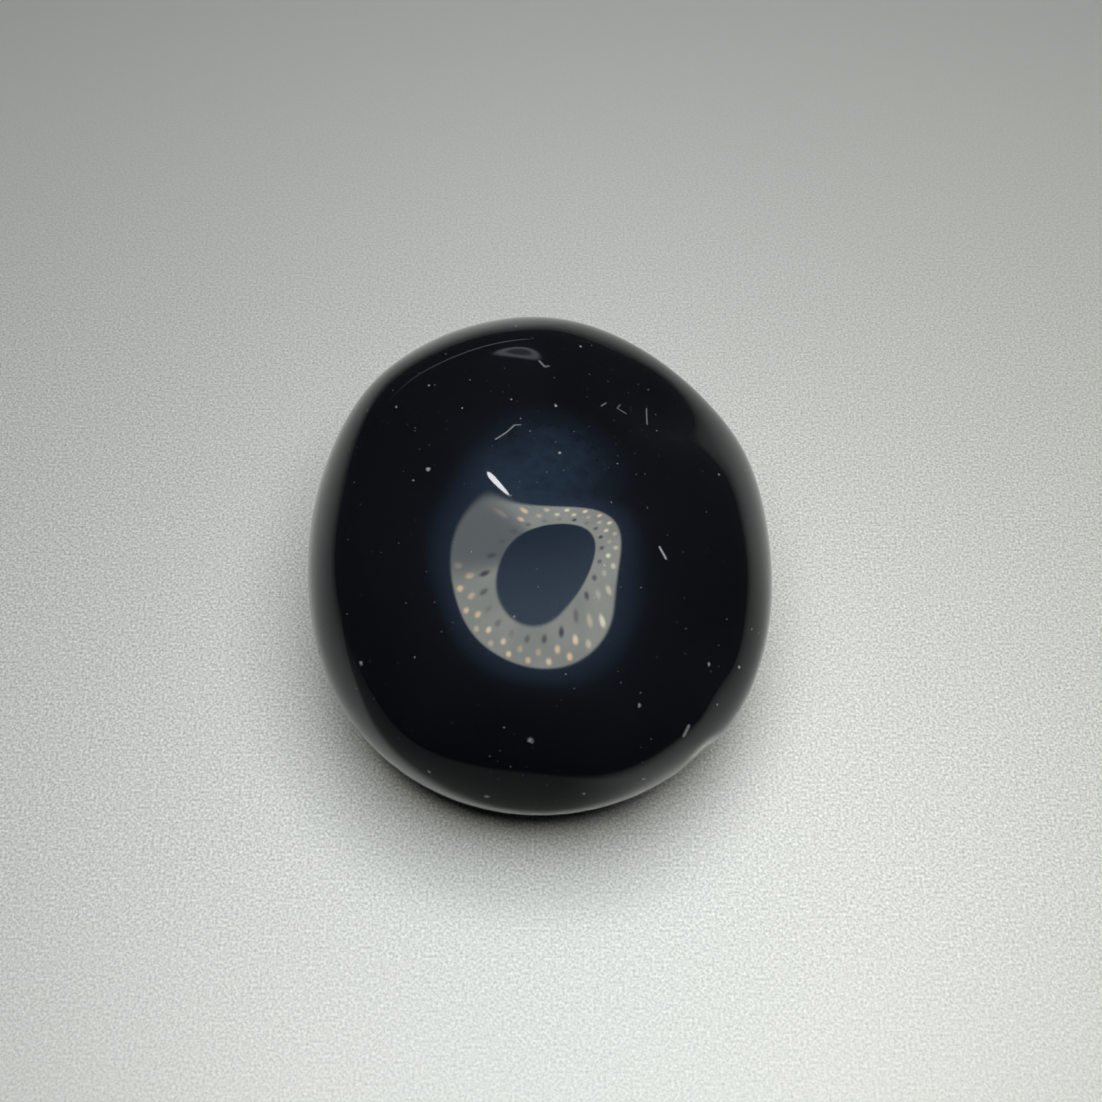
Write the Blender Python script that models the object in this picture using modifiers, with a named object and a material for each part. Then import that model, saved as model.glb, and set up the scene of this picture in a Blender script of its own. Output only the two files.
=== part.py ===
"""A tumbled onyx pebble: one chunky black stone, polished all over, lying on the flat of its underside.

X runs across the stone, Y along its length away from the viewer, Z up. The origin is on the flat, under its middle.
"""

import bmesh
import bpy
from mathutils import Vector

MM = 0.001

# Driving dimensions of the finished stone
WIDTH = 29.0 * MM
LENGTH = 34.0 * MM
HEIGHT = 15.3 * MM

# The plain oval that the stone is pressed from: a dome above the widest line, a belly below it
OVAL_WIDTH = 29.6 * MM
OVAL_LENGTH = 34.8 * MM
DOME_HEIGHT = 8.7 * MM
BELLY_DEPTH = 7.2 * MM
# How much of the belly tumbling wore off flat
FLAT_DEPTH = 0.6 * MM

# Cuts along each side of the cube that the oval is rounded from, and the levels of smoothing on top
CAGE_CUTS = 12
SMOOTH_LEVELS = 1

ONYX_BLACK = (0.010, 0.011, 0.013, 1.0)
POLISH_ROUGHNESS = 0.06


def clear_scene():
    for old in list(bpy.data.objects):
        bpy.data.objects.remove(old, do_unlink=True)


def select_points(cage, wanted):
    """Selects the cage points whose position is wanted, and nothing else."""
    bpy.ops.mesh.select_all(action="DESELECT")
    for point in cage.verts:
        point.select = wanted(point.co)
    cage.select_flush_mode()


def size_of(points):
    """The low corner, the high corner and the extents of the box round some points."""
    low = Vector(min(point.co[axis] for point in points) for axis in range(3))
    high = Vector(max(point.co[axis] for point in points) for axis in range(3))
    return low, high, high - low


def oval_cage():
    """A cube cut into an even grid and swollen to a ball, then drawn out to a dome over a shallower belly."""
    bpy.ops.mesh.primitive_cube_add(size=2.0)
    stone = bpy.context.object
    stone.name = "onyx_stone"
    bpy.ops.object.mode_set(mode="EDIT")
    bpy.ops.mesh.select_mode(type="VERT")
    bpy.ops.mesh.select_all(action="SELECT")
    bpy.ops.mesh.subdivide(number_cuts=CAGE_CUTS)
    bpy.ops.transform.tosphere(value=1.0)
    cage = bmesh.from_edit_mesh(stone.data)
    ball = next(iter(cage.verts)).co.length
    bpy.ops.transform.resize(value=(OVAL_WIDTH / 2 / ball, OVAL_LENGTH / 2 / ball, DOME_HEIGHT / ball))
    select_points(cage, lambda place: place.z < 0)
    bpy.ops.transform.resize(value=(1, 1, BELLY_DEPTH / DOME_HEIGHT), center_override=(0, 0, 0))
    return stone


def push(stone, place, move, reach):
    """Grabs the cage point nearest to a place and drags it, with the points within reach following softly.

    The three are in millimetres, from the middle of the widest line.
    """
    cage = bmesh.from_edit_mesh(stone.data)
    target = Vector(place) * MM
    grabbed = min(cage.verts, key=lambda point: (point.co - target).length).co.copy()
    select_points(cage, lambda position: position == grabbed)
    bpy.ops.transform.translate(
        value=Vector(move) * MM,
        use_proportional_edit=True,
        proportional_edit_falloff="SMOOTH",
        proportional_size=reach * MM,
    )


def press_sides(stone):
    """Makes the plain oval lopsided in plan: two corners are full, the long sides slim."""
    push(stone, (-7, 15.3, 0), (-0.15, 0.25, 0), reach=11)
    push(stone, (10.4, -12.3, 0), (0.1, -0.1, 0), reach=8)
    push(stone, (14.7, 1.3, 0), (-0.35, 0, 0), reach=9)
    push(stone, (-14.7, -1.3, 0), (0.35, 0, 0), reach=9)


def press_shoulders(stone):
    """Fills the slope between rim and top at the far left, and planes it off at the far right and the near edge."""
    push(stone, (7.3, 8.6, 6.2), (-0.7, -0.7, -1.25), reach=9)
    push(stone, (7.3, -8.6, 6.2), (-0.1, 0.1, -0.25), reach=9)
    push(stone, (0.8, -12.2, 6.1), (0, 0.15, -0.25), reach=9)
    push(stone, (-10.4, -0.9, 6.1), (-0.25, 0, 0.4), reach=9)
    push(stone, (-7.3, 8.6, 6.2), (-0.45, 0.45, 0.8), reach=9)
    push(stone, (-0.9, 12.3, 6.2), (0, 0.35, 0.55), reach=9)
    push(stone, (-10.2, 6.2, 5.6), (-0.25, 0.15, 0.25), reach=7)


def press_top(stone):
    """Works the slight swells and dips into the top that bend what the polish mirrors."""
    push(stone, (5.3, -1.2, 8.1), (0, 0, 0.2), reach=5.5)
    push(stone, (1.1, 1.3, 8.6), (0, 0, -0.1), reach=5.5)
    push(stone, (3.1, 3.7, 8.0), (0, 0, -0.15), reach=5.5)
    push(stone, (5.4, 5.6, 7.4), (0, 0, -0.1), reach=5.5)
    push(stone, (-1.1, 6.4, 8.3), (0, 0, -0.15), reach=5.5)
    push(stone, (-3.3, 3.9, 8.4), (0, 0, 0.25), reach=5.5)
    push(stone, (-5.8, 0.6, 8.0), (0, 0, 0.1), reach=5.5)
    push(stone, (1.1, -3.9, 8.4), (0, 0, 0.3), reach=5.5)


def press_near_edge(stone):
    """Makes the near edge a steep face that turns under in a low, tight bend, and rounds its two corners off."""
    push(stone, (-1.1, -16.2, -2.6), (0, -0.65, -0.55), reach=7.5)
    push(stone, (-6.3, -13.9, -3.2), (0, 0.5, -1.15), reach=6.5)
    push(stone, (6.4, -13.9, -3.1), (0, 0.4, -0.7), reach=6.5)
    push(stone, (-1.1, -17.7, 0.3), (0, 1.2, 0), reach=8)
    push(stone, (12, -9.8, -1.3), (0.15, -0.1, 0), reach=6.5)
    push(stone, (11.1, -9.1, 3.4), (-0.15, 0.1, -0.6), reach=5.5)
    push(stone, (-9.5, -9.4, 4.7), (0.4, 0.4, 0.3), reach=6.5)


def wear_flat(stone):
    """Levels the lowest part of the belly into the facet that the stone rests on."""
    cage = bmesh.from_edit_mesh(stone.data)
    level = FLAT_DEPTH - BELLY_DEPTH
    select_points(cage, lambda place: place.z < level)
    bpy.ops.transform.resize(value=(1, 1, 0), center_override=(0, 0, level))


def smooth_skin(stone):
    """Rounds the cage off into the polished skin."""
    bpy.ops.object.mode_set(mode="OBJECT")
    skin = stone.modifiers.new("skin", "SUBSURF")
    skin.levels = SMOOTH_LEVELS
    skin.render_levels = SMOOTH_LEVELS
    bpy.ops.object.modifier_apply(modifier=skin.name)
    bpy.ops.object.shade_smooth()


def settle(stone):
    """Brings the skin to its exact three sizes, with the origin on the flat under the middle."""
    low, high, extents = size_of(stone.data.vertices)
    bpy.ops.object.mode_set(mode="EDIT")
    bpy.ops.mesh.select_all(action="SELECT")
    bpy.ops.transform.translate(value=(-(low.x + high.x) / 2, -(low.y + high.y) / 2, -low.z))
    bpy.ops.transform.resize(
        value=(WIDTH / extents.x, LENGTH / extents.y, HEIGHT / extents.z),
        center_override=(0, 0, 0),
    )
    bpy.ops.object.mode_set(mode="OBJECT")


def onyx():
    """Near-black onyx with a mirror polish."""
    material = bpy.data.materials.new("onyx")
    material.use_nodes = True
    shader = material.node_tree.nodes["Principled BSDF"]
    shader.inputs["Base Color"].default_value = ONYX_BLACK
    shader.inputs["Roughness"].default_value = POLISH_ROUGHNESS
    shader.inputs["Metallic"].default_value = 0.0
    return material


def put_in_collection(stone):
    collection = bpy.data.collections.new("Onyx stone")
    bpy.context.scene.collection.children.link(collection)
    for holder in list(stone.users_collection):
        holder.objects.unlink(stone)
    collection.objects.link(stone)


clear_scene()
stone = oval_cage()
press_sides(stone)
press_shoulders(stone)
press_top(stone)
press_near_edge(stone)
wear_flat(stone)
smooth_skin(stone)
settle(stone)
stone.data.materials.append(onyx())
put_in_collection(stone)
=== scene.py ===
import math

import bmesh
import bpy
from mathutils import Euler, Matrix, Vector


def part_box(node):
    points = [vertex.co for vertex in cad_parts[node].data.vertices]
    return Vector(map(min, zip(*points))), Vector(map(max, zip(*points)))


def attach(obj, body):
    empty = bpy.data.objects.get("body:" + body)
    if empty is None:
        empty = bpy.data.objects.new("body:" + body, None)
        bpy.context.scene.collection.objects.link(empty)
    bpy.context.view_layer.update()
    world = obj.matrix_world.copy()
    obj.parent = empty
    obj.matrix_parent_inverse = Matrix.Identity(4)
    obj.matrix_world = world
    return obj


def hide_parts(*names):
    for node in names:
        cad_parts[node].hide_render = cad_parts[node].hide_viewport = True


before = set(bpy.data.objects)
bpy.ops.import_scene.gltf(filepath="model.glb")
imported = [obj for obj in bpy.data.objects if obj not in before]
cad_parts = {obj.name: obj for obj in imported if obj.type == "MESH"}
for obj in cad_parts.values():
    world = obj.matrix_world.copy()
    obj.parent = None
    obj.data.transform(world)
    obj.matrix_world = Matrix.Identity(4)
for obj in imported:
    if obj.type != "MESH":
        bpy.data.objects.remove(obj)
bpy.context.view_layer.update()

# The stone: one chunky pebble of solid black onyx, worn round by tumbling and polished all over. It
# starts as an even grid of quads rounded to an oval with a deep dome over a shallower belly, is pressed
# in and out by soft drags, and has one small flat underneath that it lies on.
MM = 0.001
OVAL_WIDTH = 29.6 * MM
OVAL_LENGTH = 34.8 * MM
DOME_HEIGHT = 8.7 * MM
BELLY_DEPTH = 7.2 * MM
FLAT_DEPTH = 0.6 * MM
CAGE_CUTS = 12

bpy.ops.object.select_all(action="DESELECT")
bpy.ops.mesh.primitive_cube_add(size=2.0)
stone = bpy.context.object
stone.name = "polished_stone"
bpy.ops.object.mode_set(mode="EDIT")
bpy.ops.mesh.select_mode(type="VERT")
bpy.ops.mesh.select_all(action="SELECT")
bpy.ops.mesh.subdivide(number_cuts=CAGE_CUTS)
bpy.ops.transform.tosphere(value=1.0)
ball = next(iter(bmesh.from_edit_mesh(stone.data).verts)).co.length
bpy.ops.transform.resize(value=(OVAL_WIDTH / 2 / ball, OVAL_LENGTH / 2 / ball, DOME_HEIGHT / ball))


def select_points(wanted):
    """Selects the stone's points whose position is wanted, and nothing else."""
    points = bmesh.from_edit_mesh(stone.data)
    bpy.ops.mesh.select_all(action="DESELECT")
    for point in points.verts:
        point.select = wanted(point.co)
    points.select_flush_mode()


def push(place, move, reach):
    """Grabs the point nearest to a place and drags it, with the points within reach following softly.

    The three are in millimetres, from the middle of the widest line.
    """
    points = bmesh.from_edit_mesh(stone.data)
    target = Vector(place) * MM
    grabbed = min(points.verts, key=lambda point: (point.co - target).length).co.copy()
    select_points(lambda position: position == grabbed)
    bpy.ops.transform.translate(
        value=Vector(move) * MM,
        use_proportional_edit=True,
        proportional_edit_falloff="SMOOTH",
        proportional_size=reach * MM,
    )


def refine(levels):
    """Rounds the stone's grid off into a finer skin."""
    bpy.ops.object.mode_set(mode="OBJECT")
    skin = stone.modifiers.new("skin", "SUBSURF")
    skin.levels = levels
    skin.render_levels = levels
    bpy.ops.object.modifier_apply(modifier=skin.name)
    bpy.ops.object.mode_set(mode="EDIT")


select_points(lambda place: place.z < 0)
bpy.ops.transform.resize(value=(1, 1, BELLY_DEPTH / DOME_HEIGHT), center_override=(0, 0, 0))

# Lopsided in plan: two corners full, the long sides slim
push((-7, 15.3, 0), (-0.15, 0.25, 0), reach=11)
push((10.4, -12.3, 0), (0.1, -0.1, 0), reach=8)
push((14.7, 1.3, 0), (-0.35, 0, 0), reach=9)
push((-14.7, -1.3, 0), (0.35, 0, 0), reach=9)
# The slope between rim and top: full at the far left, planed off at the far right and the near edge
push((7.3, 8.6, 6.2), (-0.7, -0.7, -1.25), reach=9)
push((7.3, -8.6, 6.2), (-0.1, 0.1, -0.25), reach=9)
push((0.8, -12.2, 6.1), (0, 0.15, -0.25), reach=9)
push((-10.4, -0.9, 6.1), (-0.25, 0, 0.4), reach=9)
push((-7.3, 8.6, 6.2), (-0.45, 0.45, 0.8), reach=9)
push((-0.9, 12.3, 6.2), (0, 0.35, 0.55), reach=9)
push((-10.2, 6.2, 5.6), (-0.25, 0.15, 0.25), reach=7)
# Slight swells and dips in the top, which bend what the polish mirrors
push((5.3, -1.2, 8.1), (0, 0, 0.2), reach=5.5)
push((1.1, 1.3, 8.6), (0, 0, -0.1), reach=5.5)
push((3.1, 3.7, 8.0), (0, 0, -0.15), reach=5.5)
push((5.4, 5.6, 7.4), (0, 0, -0.1), reach=5.5)
push((-1.1, 6.4, 8.3), (0, 0, -0.15), reach=5.5)
push((-3.3, 3.9, 8.4), (0, 0, 0.25), reach=5.5)
push((-5.8, 0.6, 8.0), (0, 0, 0.1), reach=5.5)
push((1.1, -3.9, 8.4), (0, 0, 0.3), reach=5.5)
# The near edge: a steep face that turns under in a low, tight bend, with its two corners rounded off
push((-1.1, -16.2, -2.6), (0, -0.65, -0.55), reach=7.5)
push((-6.3, -13.9, -3.2), (0, 0.5, -1.15), reach=6.5)
push((6.4, -13.9, -3.1), (0, 0.4, -0.7), reach=6.5)
push((-1.1, -17.7, 0.3), (0, 1.2, 0), reach=8)
push((12, -9.8, -1.3), (0.15, -0.1, 0), reach=6.5)
push((11.1, -9.1, 3.4), (-0.15, 0.1, -0.6), reach=5.5)
push((-9.5, -9.4, 4.7), (0.4, 0.4, 0.3), reach=6.5)

# The resting flat
flat_level = FLAT_DEPTH - BELLY_DEPTH
select_points(lambda place: place.z < flat_level)
bpy.ops.transform.resize(value=(1, 1, 0), center_override=(0, 0, flat_level))

refine(2)
# A shallow nick low in the right of the near edge
push((9.4, -13.1, -0.6), (-0.16, 0.2, 0.05), reach=1.9)
refine(1)

bpy.ops.object.mode_set(mode="OBJECT")
bpy.ops.object.shade_smooth()
low = Vector(min(point.co[axis] for point in stone.data.vertices) for axis in range(3))
high = Vector(max(point.co[axis] for point in stone.data.vertices) for axis in range(3))
box_low, box_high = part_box("onyx_stone")
stretch = [(box_high[axis] - box_low[axis]) / (high[axis] - low[axis]) for axis in range(3)]
bpy.ops.object.mode_set(mode="EDIT")
bpy.ops.mesh.select_all(action="SELECT")
bpy.ops.transform.translate(value=(box_low + box_high - low - high) / 2)
bpy.ops.transform.resize(value=stretch, center_override=(box_low + box_high) / 2)
bpy.ops.object.mode_set(mode="OBJECT")


def new_group(name, inputs, output, kind="NodeSocketFloat"):
    """Starts a shader node group with named inputs, each with its kind and value, and one output."""
    group = bpy.data.node_groups.new(name, "ShaderNodeTree")
    for label, socket_kind, value in inputs:
        socket = group.interface.new_socket(name=label, in_out="INPUT", socket_type=socket_kind)
        if value is not None:
            socket.default_value = value
    group.interface.new_socket(name=output, in_out="OUTPUT", socket_type=kind)
    return group, group.nodes.new("NodeGroupInput").outputs, group.nodes.new("NodeGroupOutput").inputs


def add_node(tree, kind, settings=None, **links):
    """Adds a node; each keyword names one of its inputs, as an index after 'i' or a name, and gives its source."""
    node = tree.nodes.new(kind)
    for name, value in (settings or {}).items():
        setattr(node, name, value)
    for name, source in links.items():
        key = int(name[1:]) if name[0] == "i" and name[1:].isdigit() else name.replace("_", " ")
        if isinstance(source, bpy.types.NodeSocket):
            tree.links.new(source, node.inputs[key])
        else:
            node.inputs[key].default_value = source
    return node


def maths(tree, operation, first, second=0.0, clamp=False):
    node = add_node(tree, "ShaderNodeMath", {"operation": operation, "use_clamp": clamp}, i0=first, i1=second)
    return node.outputs["Value"]


def vector_maths(tree, operation, first, second=(0, 0, 0)):
    return add_node(tree, "ShaderNodeVectorMath", {"operation": operation}, i0=first, i1=second)


def fade_out(tree, value, full, gone):
    """A mask that is 1 up to one distance and falls smoothly to 0 at a second one."""
    ramp = add_node(tree, "ShaderNodeMapRange", {"interpolation_type": "SMOOTHSTEP"}, Value=value)
    for key, source in (("From Min", full), ("From Max", gone)):
        if isinstance(source, bpy.types.NodeSocket):
            tree.links.new(source, ramp.inputs[key])
        else:
            ramp.inputs[key].default_value = source
    ramp.inputs["To Min"].default_value = 1.0
    ramp.inputs["To Max"].default_value = 0.0
    return ramp.outputs["Result"]


def rag(tree, place, scale):
    """The same place jolted a little by fine noise, so that what is drawn there gets a ragged edge."""
    jolt = add_node(tree, "ShaderNodeTexNoise", Vector=place, Scale=scale, Detail=1.0)
    jolt = vector_maths(tree, "SUBTRACT", jolt.outputs["Color"], (0.5, 0.5, 0.5)).outputs["Vector"]
    jolt = vector_maths(tree, "MULTIPLY", jolt, (1.2 / scale,) * 3).outputs["Vector"]
    return vector_maths(tree, "ADD", place, jolt).outputs["Vector"]


# Loose dust that has settled on the polish: grains scattered in space, and a grain shows where the skin
# cuts it
dust, given, result = new_group(
    "dust",
    [("Place", "NodeSocketVector", None), ("Per metre", "NodeSocketFloat", 700.0), ("Grain", "NodeSocketFloat", 0.1)],
    "Specks",
)
grains = add_node(dust, "ShaderNodeTexVoronoi", Vector=rag(dust, given["Place"], 9000.0), Scale=given["Per metre"])
chance = add_node(dust, "ShaderNodeSeparateColor", Color=grains.outputs["Color"])
size = maths(dust, "POWER", chance.outputs["Red"], 2.0)
size = maths(dust, "MULTIPLY_ADD", size, 0.75)
size.node.inputs[2].default_value = 0.25
size = maths(dust, "MULTIPLY", size, given["Grain"])
core = maths(dust, "MULTIPLY", size, 0.45)
specks = fade_out(dust, grains.outputs["Distance"], core, size)
bright = maths(dust, "MULTIPLY_ADD", chance.outputs["Green"], 0.6)
bright.node.inputs[2].default_value = 0.4
specks = maths(dust, "MULTIPLY", specks, bright)
dust.links.new(specks, result["Specks"])

# One bigger speck, lint or chip, at a known place on the skin
fleck, given, result = new_group(
    "fleck",
    [("Place", "NodeSocketVector", None), ("Centre", "NodeSocketVector", None), ("Radius", "NodeSocketFloat", 0.0001)],
    "Fleck",
)
distance = vector_maths(fleck, "DISTANCE", rag(fleck, given["Place"], 4500.0), given["Centre"]).outputs["Value"]
fleck.links.new(fade_out(fleck, distance, 0.0, given["Radius"]), result["Fleck"])

# One hairline: a fine scratch or fibre between two places on the skin
hairline, given, result = new_group(
    "hairline",
    [
        ("Place", "NodeSocketVector", None),
        ("Start", "NodeSocketVector", None),
        ("End", "NodeSocketVector", None),
        ("Width", "NodeSocketFloat", 0.00006),
    ],
    "Line",
)
along = vector_maths(hairline, "SUBTRACT", given["End"], given["Start"]).outputs["Vector"]
reached = vector_maths(hairline, "SUBTRACT", given["Place"], given["Start"]).outputs["Vector"]
share = maths(
    hairline,
    "DIVIDE",
    vector_maths(hairline, "DOT_PRODUCT", reached, along).outputs["Value"],
    vector_maths(hairline, "DOT_PRODUCT", along, along).outputs["Value"],
    clamp=True,
)
nearest = vector_maths(hairline, "SCALE", along)
hairline.links.new(share, nearest.inputs["Scale"])
distance = vector_maths(hairline, "DISTANCE", reached, nearest.outputs["Vector"]).outputs["Value"]
core = maths(hairline, "MULTIPLY", given["Width"], 0.3)
hairline.links.new(fade_out(hairline, distance, core, given["Width"]), result["Line"])

# A painted halo: a soft blue glow painted into the colour round a spot, strongest in the middle and broken up by small
# noise, standing in for the glow round the lamp's mirror image
painted_halo, given, result = new_group(
    "painted_halo",
    [("Place", "NodeSocketVector", None), ("Centre", "NodeSocketVector", None), ("Radius", "NodeSocketFloat", 0.004)],
    "Painted halo",
)
distance = vector_maths(painted_halo, "DISTANCE", given["Place"], given["Centre"]).outputs["Value"]
patch = fade_out(painted_halo, distance, 0.0, given["Radius"])
broken = add_node(painted_halo, "ShaderNodeTexNoise", Vector=given["Place"], Scale=1400.0, Detail=4.0, Roughness=0.7)
broken = add_node(
    painted_halo,
    "ShaderNodeMapRange",
    Value=broken.outputs["Fac"],
    From_Min=0.3,
    From_Max=0.7,
    To_Min=0.5,
    To_Max=1.3,
)
painted_halo.links.new(maths(painted_halo, "MULTIPLY", patch, broken.outputs["Result"], clamp=True), result["Painted halo"])

# Onyx: a near-black ground with a faint blue-grey haze just under a mirror polish, and a painted blue halo round the
# lamp's mirror image
onyx = bpy.data.materials.new("onyx")
onyx.use_nodes = True
tree = onyx.node_tree
polish = tree.nodes["Principled BSDF"]
polish.inputs["IOR"].default_value = 1.54
polish.inputs["Specular IOR Level"].default_value = 0.06
polish.inputs["Specular Tint"].default_value = (0.45, 0.68, 1.0, 1.0)
polish.inputs["Coat IOR"].default_value = 1.54
polish.inputs["Coat Roughness"].default_value = 0.025
place = add_node(tree, "ShaderNodeTexCoord").outputs["Object"]


def on_skin(across, away):
    """The place on the stone's upper skin that lies over a spot in plan, in millimetres."""
    hit, location, normal, face = stone.ray_cast(Vector((across, away, 40)) * MM, (0, 0, -1))
    return location


def use_group(group, **values):
    node = add_node(tree, "ShaderNodeGroup", {"node_tree": group}, Place=place, **values)
    return node.outputs[0]


coarse = use_group(dust, Per_metre=760.0, Grain=0.10)
fine = maths(tree, "MULTIPLY", use_group(dust, Per_metre=1900.0, Grain=0.12), 0.45)
marks = maths(tree, "MAXIMUM", coarse, fine)
# The biggest flecks, each with its spot in plan, its radius and how much of it is solid
for across, away, radius, strength in (
    (-8.7, 5.68, 0.11, 0.8),
    (-6.5, 0.68, 0.17, 0.96),
    (-7.4, 0.08, 0.1, 0.64),
    (1.0, 5.48, 0.13, 0.96),
    (-1.7, 5.68, 0.13, 0.64),
    (10.9, 2.08, 0.1, 0.8),
    (-10.2, -9.82, 0.2, 1),
    (-10.5, -10.92, 0.12, 0.64),
    (-0.45, -14.72, 0.24, 0.8),
    (-3.0, -16.52, 0.27, 0.8),
    (-3.75, -16.67, 0.22, 0.72),
    (-2.1, -17.07, 0.15, 0.48),
    (-6.25, -15.42, 0.2, 0.56),
    (9.8, -9.82, 0.19, 0.96),
    (6.0, -15.82, 0.2, 0.64),
    (5.7, -12.82, 0.14, 0.64),
):
    spot = use_group(fleck, Centre=on_skin(across, away), Radius=radius * MM)
    marks = maths(tree, "MAXIMUM", marks, maths(tree, "MULTIPLY", spot, strength))
# Hairs of lint and short scratches, each with its two ends in plan and its half width
for start, end, width, strength in (
    ((-2.55, 2.53), (-1.9, 3.08), 0.06, 0.5),
    ((-1.9, 3.08), (-1.45, 3.63), 0.06, 0.5),
    ((-1.45, 3.63), (-1.1, 3.68), 0.05, 0.4),
    ((3.8, 6.28), (4.1, 6.68), 0.05, 0.4),
    ((4.8, 6.48), (5.0, 6.88), 0.05, 0.3),
    ((4.8, 6.48), (5.35, 6.18), 0.05, 0.4),
    ((6.7, 7.23), (6.65, 5.58), 0.05, 0.45),
    ((6.95, -4.12), (7.3, -4.72), 0.09, 0.7),
    ((8.3, -13.72), (8.55, -13.27), 0.16, 0.5),
    ((0.0, 9.08), (0.3, 8.68), 0.10, 0.35),
    ((0.3, 8.68), (0.6, 8.78), 0.07, 0.3),
):
    hair = use_group(hairline, Start=on_skin(*start), End=on_skin(*end), Width=width * MM)
    marks = maths(tree, "MAXIMUM", marks, maths(tree, "MULTIPLY", hair, strength))

clouds = add_node(tree, "ShaderNodeTexNoise", Vector=place, Scale=190.0, Detail=3.0, Roughness=0.6)
ground = add_node(tree, "ShaderNodeMix", {"data_type": "RGBA"}, i0=clouds.outputs["Fac"])
ground.inputs[6].default_value = (0.0032, 0.0036, 0.0048, 1.0)
ground.inputs[7].default_value = (0.0054, 0.0060, 0.0080, 1.0)
# Painted glow round the lamp's mirror image on the top: a blue halo painted into the stone's colour
painted_bloom = use_group(painted_halo, Centre=on_skin(0.6, 0.7), Radius=5.6 * MM)
painted_bloom = add_node(tree, "ShaderNodeMix", {"data_type": "RGBA"}, i0=painted_bloom, i6=ground.outputs[2])
painted_bloom.inputs[7].default_value = (0.014, 0.023, 0.040, 1.0)
skin_colour = add_node(tree, "ShaderNodeMix", {"data_type": "RGBA"}, i0=marks, i6=painted_bloom.outputs[2])
skin_colour.inputs[7].default_value = (0.40, 0.41, 0.42, 1.0)
tree.links.new(skin_colour.outputs[2], polish.inputs["Base Color"])
wear = add_node(tree, "ShaderNodeTexNoise", Vector=place, Scale=420.0, Detail=2.0)
haze = add_node(tree, "ShaderNodeMapRange", Value=wear.outputs["Fac"], To_Min=0.26, To_Max=0.34)
dull = add_node(tree, "ShaderNodeMix", {"data_type": "FLOAT"}, i0=marks, i2=haze.outputs["Result"], i3=0.95)
tree.links.new(dull.outputs[0], polish.inputs["Roughness"])
tree.links.new(maths(tree, "SUBTRACT", 1.0, marks, clamp=True), polish.inputs["Coat Weight"])

stone.data.materials.append(onyx)
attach(stone, "root")
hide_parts("onyx_stone")

# The floor: a plain pale sheet with a satin face and a fine even grain, wide enough to reach the
# horizon in every view.
FLOOR_SIZE = 1.6
bpy.ops.object.select_all(action="DESELECT")
bpy.ops.mesh.primitive_plane_add(size=FLOOR_SIZE)
floor = bpy.context.object
floor.name = "floor"
satin = bpy.data.materials.new("satin_sheet")
satin.use_nodes = True
tree = satin.node_tree
sheet = tree.nodes["Principled BSDF"]
sheet.inputs["Metallic"].default_value = 0.35
sheet.inputs["Roughness"].default_value = 0.5
sheet.inputs["Specular IOR Level"].default_value = 0.5
place = add_node(tree, "ShaderNodeTexCoord").outputs["Object"]
grain = add_node(tree, "ShaderNodeTexNoise", Vector=place, Scale=6000.0, Detail=2.0, Roughness=0.6)
# The grain is deepest round the stone, and the sheet is smoother towards the back and the front
behind = add_node(tree, "ShaderNodeSeparateXYZ", Vector=place).outputs["Y"]
depth = maths(tree, "SUBTRACT", grain.outputs["Fac"], 0.5)
depth = maths(tree, "MULTIPLY", depth, fade_out(tree, behind, 0.0, 0.06))
depth = maths(tree, "MULTIPLY", depth, fade_out(tree, maths(tree, "MULTIPLY", behind, -1.0), 0.012, 0.055))
depth = add_node(tree, "ShaderNodeMapRange", Value=depth, From_Min=-0.25, From_Max=0.25).outputs["Result"]
# Painted light: the colour is also painted paler towards the front and darker towards the back, as the light falls
grain_and_painted_light = maths(tree, "SUBTRACT", depth, maths(tree, "MULTIPLY", behind, 4.0))
sheet_colour_and_painted_light = add_node(tree, "ShaderNodeMix", {"data_type": "RGBA"}, i0=grain_and_painted_light)
sheet_colour_and_painted_light.inputs[6].default_value = (0.40, 0.41, 0.40, 1.0)
sheet_colour_and_painted_light.inputs[7].default_value = (1.0, 1.0, 0.98, 1.0)
tree.links.new(sheet_colour_and_painted_light.outputs[2], sheet.inputs["Base Color"])
bump = add_node(tree, "ShaderNodeBump", Height=depth, Strength=0.5, Distance=0.00002)
tree.links.new(bump.outputs["Normal"], sheet.inputs["Normal"])
floor.data.materials.append(satin)

# The lamp: a flat ring of frosted light with two staggered rows of small bulbs behind it, hung face
# down over the stone, with a faint glow on the ceiling inside and round it. It is most of the light
# there is, and the polish mirrors it.
LAMP_CENTRE = Vector((5.4, 2.61, 103.0)) * MM
LAMP_FACING = Vector((0.055, 0.033, 0.998))
LAMP_RADIUS = 50.0 * MM
LAMP_HOLE = 32.5 * MM
GLOW_RADIUS = 80.0 * MM
LAMP_POWER = 4.8


def hang(name, radius, location, turned):
    """A flat disc that gives light and that only its mirror image shows."""
    bpy.ops.object.select_all(action="DESELECT")
    bpy.ops.mesh.primitive_circle_add(vertices=96, radius=radius, fill_type="NGON")
    disc = bpy.context.object
    disc.name = name
    disc.location = location
    disc.rotation_mode = "QUATERNION"
    disc.rotation_quaternion = turned
    disc.visible_camera = False
    disc.visible_shadow = False
    return disc


lamp_turned = Vector((0, 0, 1)).rotation_difference(LAMP_FACING)
lamp = hang("ring_lamp", LAMP_RADIUS + MM, LAMP_CENTRE, lamp_turned)

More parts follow.
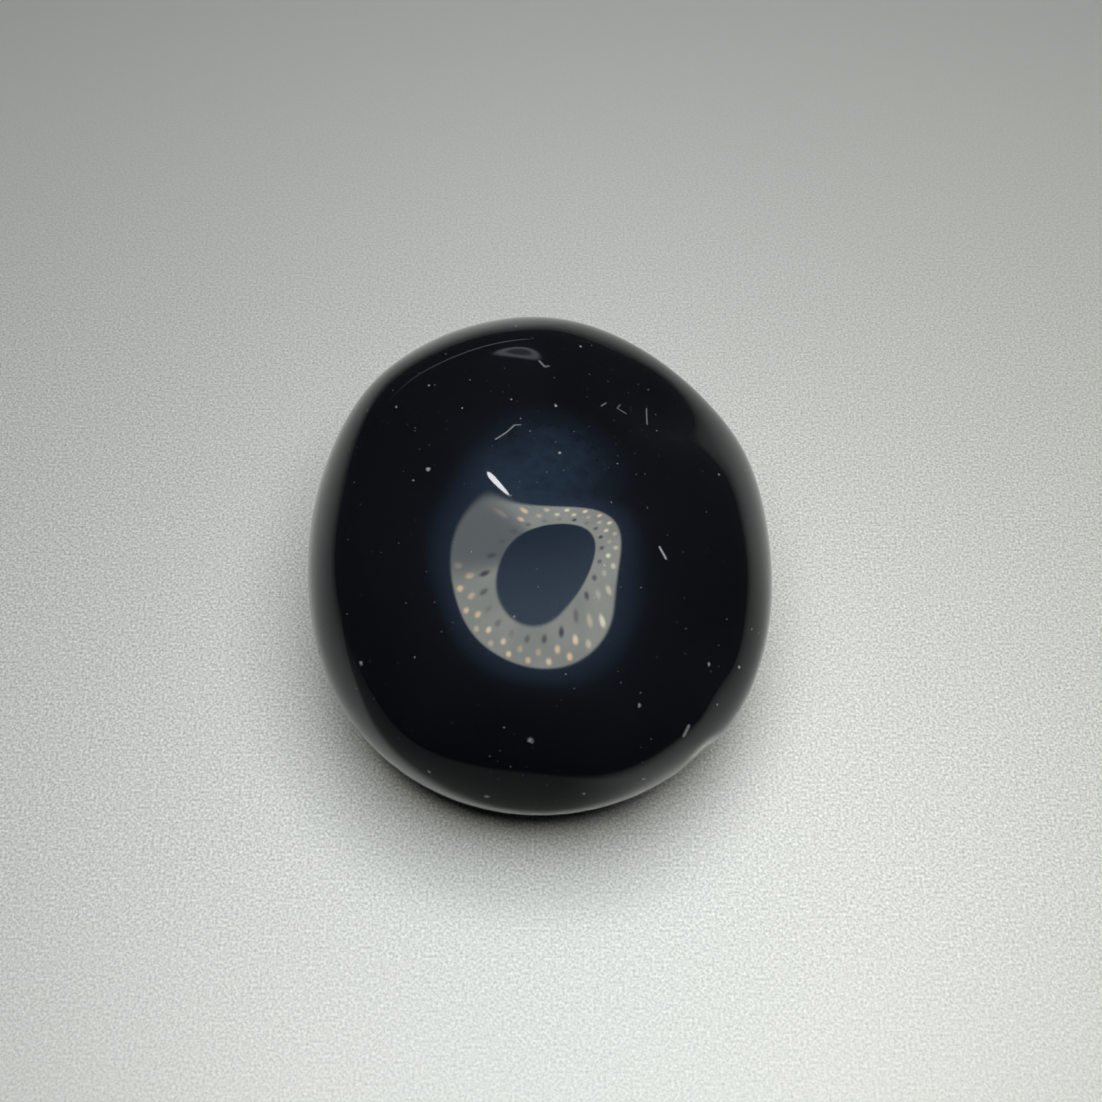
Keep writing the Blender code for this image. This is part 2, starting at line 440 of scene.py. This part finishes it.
bulb_row, given, result = new_group(
    "bulb_row",
    [
        ("Place", "NodeSocketVector", None),
        ("Row radius", "NodeSocketFloat", 0.05),
        ("Count", "NodeSocketFloat", 24.0),
        ("Turn", "NodeSocketFloat", 0.0),
        ("Bulb radius", "NodeSocketFloat", 0.001),
    ],
    "Bulbs",
)
axes = add_node(bulb_row, "ShaderNodeSeparateXYZ", Vector=given["Place"])
turn = maths(bulb_row, "ARCTAN2", axes.outputs["Y"], axes.outputs["X"])
turn = maths(bulb_row, "MULTIPLY", maths(bulb_row, "DIVIDE", turn, 2 * math.pi), given["Count"])
turn = maths(bulb_row, "ADD", turn, given["Turn"])
number = maths(bulb_row, "ROUND", turn)
slip = maths(bulb_row, "SUBTRACT", turn, number)
pitch = maths(bulb_row, "DIVIDE", maths(bulb_row, "MULTIPLY", given["Row radius"], 2 * math.pi), given["Count"])
slip = maths(bulb_row, "MULTIPLY", slip, pitch)
reach = vector_maths(bulb_row, "LENGTH", given["Place"]).outputs["Value"]
reach = maths(bulb_row, "SUBTRACT", reach, given["Row radius"])
spot = add_node(bulb_row, "ShaderNodeCombineXYZ", X=slip, Y=reach)
distance = vector_maths(bulb_row, "LENGTH", spot.outputs["Vector"]).outputs["Value"]
core = maths(bulb_row, "MULTIPLY", given["Bulb radius"], 0.25)
bulbs = fade_out(bulb_row, distance, core, given["Bulb radius"])
# No two bulbs are equally bright
seed = add_node(bulb_row, "ShaderNodeCombineXYZ", X=number, Y=given["Count"], Z=given["Turn"])
luck = add_node(
    bulb_row,
    "ShaderNodeTexWhiteNoise",
    {"noise_dimensions": "3D"},
    Vector=seed.outputs["Vector"],
)
uneven = add_node(bulb_row, "ShaderNodeMapRange", Value=luck.outputs["Value"], To_Min=0.25, To_Max=1.0)
bulb_row.links.new(maths(bulb_row, "MULTIPLY", bulbs, uneven.outputs["Result"]), result["Bulbs"])

glow = bpy.data.materials.new("ring_light")
glow.use_nodes = True
tree = glow.node_tree
tree.nodes.remove(tree.nodes["Principled BSDF"])
place = add_node(tree, "ShaderNodeTexCoord").outputs["Object"]


def mix(share, first, second):
    """Mixes two colours in the material being made; each is a colour or another node's output."""
    node = add_node(tree, "ShaderNodeMix", {"data_type": "RGBA"}, i0=share, i6=first, i7=second)
    return node.outputs[2]


from_middle = vector_maths(tree, "LENGTH", place).outputs["Value"]
# Where the frosted face is dull: a sixth of the way round, with no bulbs
DULL_TURN = math.radians(150)
dull_way = Vector((math.cos(DULL_TURN), math.sin(DULL_TURN), 0))
sideways = vector_maths(tree, "DOT_PRODUCT", vector_maths(tree, "NORMALIZE", place).outputs["Vector"], dull_way)
lively = fade_out(tree, sideways.outputs["Value"], 0.80, 0.97)
outer = use_group(bulb_row, Row_radius=0.0465, Count=24.0, Turn=0.5, Bulb_radius=0.0024)
inner = use_group(bulb_row, Row_radius=0.0420, Count=24.0, Turn=0.0, Bulb_radius=0.0024)
bulbs = maths(tree, "MULTIPLY", maths(tree, "MAXIMUM", outer, inner), lively)
holes = use_group(bulb_row, Row_radius=0.0370, Count=23.0, Turn=0.45, Bulb_radius=0.0024)
patchy = add_node(tree, "ShaderNodeTexNoise", Vector=place, Scale=35.0, Detail=1.0).outputs["Fac"]
patchy = add_node(tree, "ShaderNodeMapRange", Value=patchy, From_Min=0.4, From_Max=0.6).outputs["Result"]
face = mix(lively, (0.42, 0.46, 0.47, 1.0), mix(patchy, (0.88, 0.94, 0.86, 1.0), (1.05, 1.08, 0.97, 1.0)))
face = mix(bulbs, face, mix(patchy, (3.2, 2.2, 1.3, 1.0), (3.0, 2.9, 2.3, 1.0)))
face = mix(maths(tree, "MULTIPLY", holes, 0.9), face, (0.10, 0.13, 0.18, 1.0))
down = add_node(tree, "ShaderNodeSeparateXYZ", Vector=place).outputs["Y"]
down = add_node(tree, "ShaderNodeMapRange", Value=down, From_Min=LAMP_HOLE, From_Max=-LAMP_HOLE).outputs["Result"]
middle = mix(down, (0.022, 0.045, 0.085, 1.0), (0.13, 0.18, 0.26, 1.0))
inside_hole = fade_out(tree, from_middle, LAMP_HOLE - 0.8 * MM, LAMP_HOLE + 0.8 * MM)
inside_rim = fade_out(tree, from_middle, LAMP_RADIUS - 1.2 * MM, LAMP_RADIUS + 0.8 * MM)
face = mix(inside_rim, (0.030, 0.055, 0.10, 1.0), mix(inside_hole, face, middle))
light = add_node(tree, "ShaderNodeEmission", Color=face, Strength=LAMP_POWER)
tree.links.new(light.outputs["Emission"], tree.nodes["Material Output"].inputs["Surface"])
lamp.data.materials.append(glow)

# The glow that the lamp leaves on the ceiling round it
ceiling = hang("ceiling_glow", GLOW_RADIUS, LAMP_CENTRE + LAMP_FACING * MM, lamp_turned)
ceiling.visible_diffuse = False
glow_falls_on = bpy.data.collections.new("glow_falls_on")
glow_falls_on.objects.link(stone)
ceiling.light_linking.receiver_collection = glow_falls_on
ceiling_light = bpy.data.materials.new("ceiling_light")
ceiling_light.use_nodes = True
tree = ceiling_light.node_tree
place = add_node(tree, "ShaderNodeTexCoord").outputs["Object"]
from_middle = vector_maths(tree, "LENGTH", place).outputs["Value"]
halo = fade_out(tree, from_middle, LAMP_RADIUS * 0.9, GLOW_RADIUS * 0.9)
fading = mix(halo, (0, 0, 0, 1), (0.030, 0.055, 0.10, 1.0))
light = add_node(tree, "ShaderNodeEmission", Color=fading, Strength=LAMP_POWER)
tree.links.new(light.outputs["Emission"], tree.nodes["Material Output"].inputs["Surface"])
ceiling.data.materials.append(ceiling_light)

# The white flash of one clear bulb at the lamp's rim
FLASH_TURN = math.radians(114)
FLASH_REACH = 52.5 * MM
FLASH_RADIUS = 1.8 * MM
flash_place = lamp_turned @ (Vector((math.cos(FLASH_TURN), math.sin(FLASH_TURN), 0)) * FLASH_REACH)
flash = hang("clear_bulb", FLASH_RADIUS, LAMP_CENTRE + flash_place - LAMP_FACING * MM, lamp_turned)
white = bpy.data.materials.new("clear_light")
white.use_nodes = True
tree = white.node_tree
light = add_node(tree, "ShaderNodeEmission", Color=(0.95, 0.97, 1.0, 1.0), Strength=16.0)
tree.links.new(light.outputs["Emission"], tree.nodes["Material Output"].inputs["Surface"])
flash.data.materials.append(white)

# A second, dimmer ring of light behind the stone, which the far slope mirrors as a small flat oval
FAR_ELEVATION = math.radians(27.2)
FAR_AZIMUTH = math.radians(14.7)
far_way = Vector((math.sin(FAR_AZIMUTH), math.cos(FAR_AZIMUTH), math.tan(FAR_ELEVATION))).normalized()
far_turned = (-far_way).to_track_quat("Z", "Y")
far_ring = hang("far_ring", 1.0, Vector((5.1, 63.6, 40.7)) * MM, far_turned)
far_ring.scale = (13.5 * MM, 5.5 * MM, 1)
far_glow = bpy.data.materials.new("far_light")
far_glow.use_nodes = True
tree = far_glow.node_tree
place = add_node(tree, "ShaderNodeTexCoord").outputs["Object"]
from_middle = vector_maths(tree, "LENGTH", place).outputs["Value"]
whole = fade_out(tree, from_middle, 0.70, 1.0)
inside = fade_out(tree, from_middle, 0.35, 0.65)
band = maths(tree, "MULTIPLY", maths(tree, "SUBTRACT", whole, inside), 0.75)
filled = maths(tree, "MULTIPLY", fade_out(tree, from_middle, 0.6, 0.9), 0.25)
far_tone = mix(maths(tree, "ADD", band, filled), (0, 0, 0, 1), (0.80, 0.84, 1.0, 1.0))
light = add_node(tree, "ShaderNodeEmission", Color=far_tone, Strength=1.0)
tree.links.new(light.outputs["Emission"], tree.nodes["Material Output"].inputs["Surface"])
far_ring.data.materials.append(far_glow)

# A thin strip of light low behind the stone, brightest at its right end, which the far rim mirrors as a
# fine line
along_strip = Vector((53, 18, -4.3)).to_track_quat("X", "Z")
strip = hang("far_strip", 1.0, Vector((-18.5, 60.0, 29.2)) * MM, along_strip)
upright = Euler((math.radians(90), 0, 0)).to_quaternion()
strip.rotation_quaternion = strip.rotation_quaternion @ upright
strip.scale = (28 * MM, 0.6 * MM, 1)
strip_glow = bpy.data.materials.new("strip_light")
strip_glow.use_nodes = True
tree = strip_glow.node_tree
place = add_node(tree, "ShaderNodeTexCoord").outputs["Object"]
rightwards = add_node(tree, "ShaderNodeSeparateXYZ", Vector=place).outputs["X"]
brighter = add_node(tree, "ShaderNodeMapRange", Value=rightwards, From_Min=-1.0, From_Max=0.8)
strip_tone = mix(brighter.outputs["Result"], (0.2, 0.21, 0.24, 1.0), (0.8, 0.84, 1.0, 1.0))
light = add_node(tree, "ShaderNodeEmission", Color=strip_tone, Strength=1.0)
tree.links.new(light.outputs["Emission"], tree.nodes["Material Output"].inputs["Surface"])
strip.data.materials.append(strip_glow)

# The softbox: a big even light overhead that fills in the floor. It leaves no mirror image in the polish.
softbox = bpy.data.objects.new("softbox", bpy.data.lights.new("softbox", "AREA"))
bpy.context.collection.objects.link(softbox)
softbox.location = (0.05, 0.08, 0.35)
softbox.data.shape = "DISK"
softbox.data.size = 0.40
softbox.data.energy = 0.95
softbox.data.color = (1.0, 0.99, 0.98)
softbox.visible_glossy = False

# The shade: a thin dark sheet just over the floor in front of the stone that only mirror images show,
# so that the left and the middle of the near edge mirror a dim floor
CLOSE_SHADE_STARTS = -16.5 * MM
CLOSE_SHADE_FULL = -20.0 * MM
CLOSE_SHADE_RIGHT = 14.0 * MM
FAR_SHADE_STARTS = -22.0 * MM
FAR_SHADE_FULL = -60.0 * MM
bpy.ops.object.select_all(action="DESELECT")
bpy.ops.mesh.primitive_plane_add(size=FLOOR_SIZE, location=(0, 0, 0.1 * MM))
shade = bpy.context.object
shade.name = "shade"
shade.visible_camera = False
shade.visible_diffuse = False
shade.visible_shadow = False
dark = bpy.data.materials.new("shade")
dark.use_nodes = True
tree = dark.node_tree
tree.nodes.remove(tree.nodes["Principled BSDF"])
place = add_node(tree, "ShaderNodeTexCoord").outputs["Object"]
axes = add_node(tree, "ShaderNodeSeparateXYZ", Vector=place)
close_by = fade_out(tree, axes.outputs["Y"], CLOSE_SHADE_FULL, CLOSE_SHADE_STARTS)
close_by = maths(tree, "MULTIPLY", close_by, fade_out(tree, axes.outputs["X"], 0.0, CLOSE_SHADE_RIGHT))
far_off = fade_out(tree, axes.outputs["Y"], FAR_SHADE_FULL, FAR_SHADE_STARTS)
thick = maths(tree, "MAXIMUM", maths(tree, "MULTIPLY", close_by, 0.76), far_off)
above = maths(tree, "SUBTRACT", 1.0, add_node(tree, "ShaderNodeNewGeometry").outputs["Backfacing"])
thick = maths(tree, "MULTIPLY", thick, above)
clear = add_node(tree, "ShaderNodeBsdfTransparent")
black = add_node(tree, "ShaderNodeEmission", Color=(0, 0, 0, 1), Strength=0.0)
shaded = add_node(tree, "ShaderNodeMixShader", i0=thick)
tree.links.new(clear.outputs[0], shaded.inputs[1])
tree.links.new(black.outputs[0], shaded.inputs[2])
tree.links.new(shaded.outputs[0], tree.nodes["Material Output"].inputs["Surface"])
shade.data.materials.append(dark)

# The room: almost dark, so that the polish stays black wherever it mirrors neither the lamp nor the
# floor.
room = bpy.data.worlds.new("room")
bpy.context.scene.world = room
room.use_nodes = True
room.node_tree.nodes["Background"].inputs["Color"].default_value = (0.75, 0.88, 1.0, 1.0)
room.node_tree.nodes["Background"].inputs["Strength"].default_value = 0.004
bpy.context.scene.view_settings.view_transform = "Standard"

# The camera: a close-up from the near side, steeply down on to the stone.
CAMERA_AIM = Vector((0.71, -0.48, 7.2)) * MM
CAMERA_DISTANCE = 90.0 * MM
CAMERA_ELEVATION = math.radians(60)
camera = bpy.data.objects.new("camera", bpy.data.cameras.new("camera"))
bpy.context.collection.objects.link(camera)
towards = Vector((0, math.cos(CAMERA_ELEVATION), -math.sin(CAMERA_ELEVATION)))
camera.location = CAMERA_AIM - towards * CAMERA_DISTANCE
camera.rotation_mode = "QUATERNION"
camera.rotation_quaternion = towards.to_track_quat("-Z", "Y")
camera.data.lens = 46.84
camera.data.clip_start = 0.005
camera.data.clip_end = 10.0
bpy.context.scene.camera = camera
